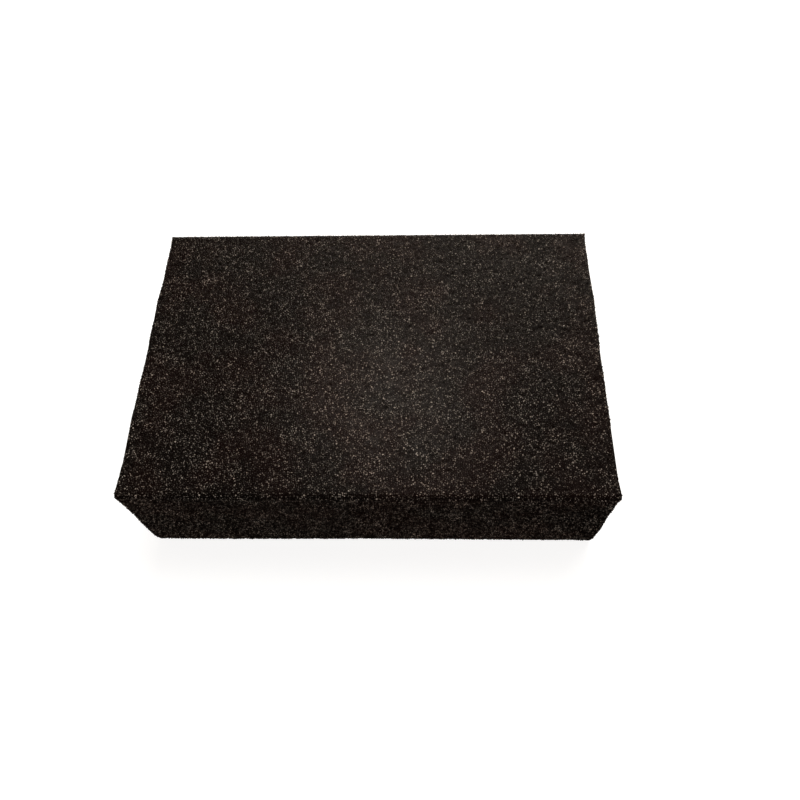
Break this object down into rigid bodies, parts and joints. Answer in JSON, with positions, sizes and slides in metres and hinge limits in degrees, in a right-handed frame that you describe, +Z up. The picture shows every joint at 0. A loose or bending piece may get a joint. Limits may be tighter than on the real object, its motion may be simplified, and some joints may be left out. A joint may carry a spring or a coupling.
{
  "type": "sanding sponge",
  "caption": "Flexible foam sanding block: a plain cuboid with abrasive grain on its top, bottom and long sides, and bare foam ends, for sanding by hand.",
  "frame": {"origin": "centre of the base, the lower grit face that the block rests on", "axes": "+X along the length, +Y across the width from the front side to the back side, +Z up through the thickness"},
  "size_m": [0.1, 0.068, 0.026],
  "materials": {
    "foam": "matte",
    "make_coat": "satin",
    "grit": "satin"
  },
  "bodies": {
    "root": {"foam_core": "foam", "make_coat_top": "make_coat", "make_coat_bottom": "make_coat", "make_coat_front": "make_coat", "make_coat_back": "make_coat", "grit_top": "grit", "grit_bottom": "grit", "grit_front": "grit", "grit_back": "grit"}
  },
  "joints": []
}
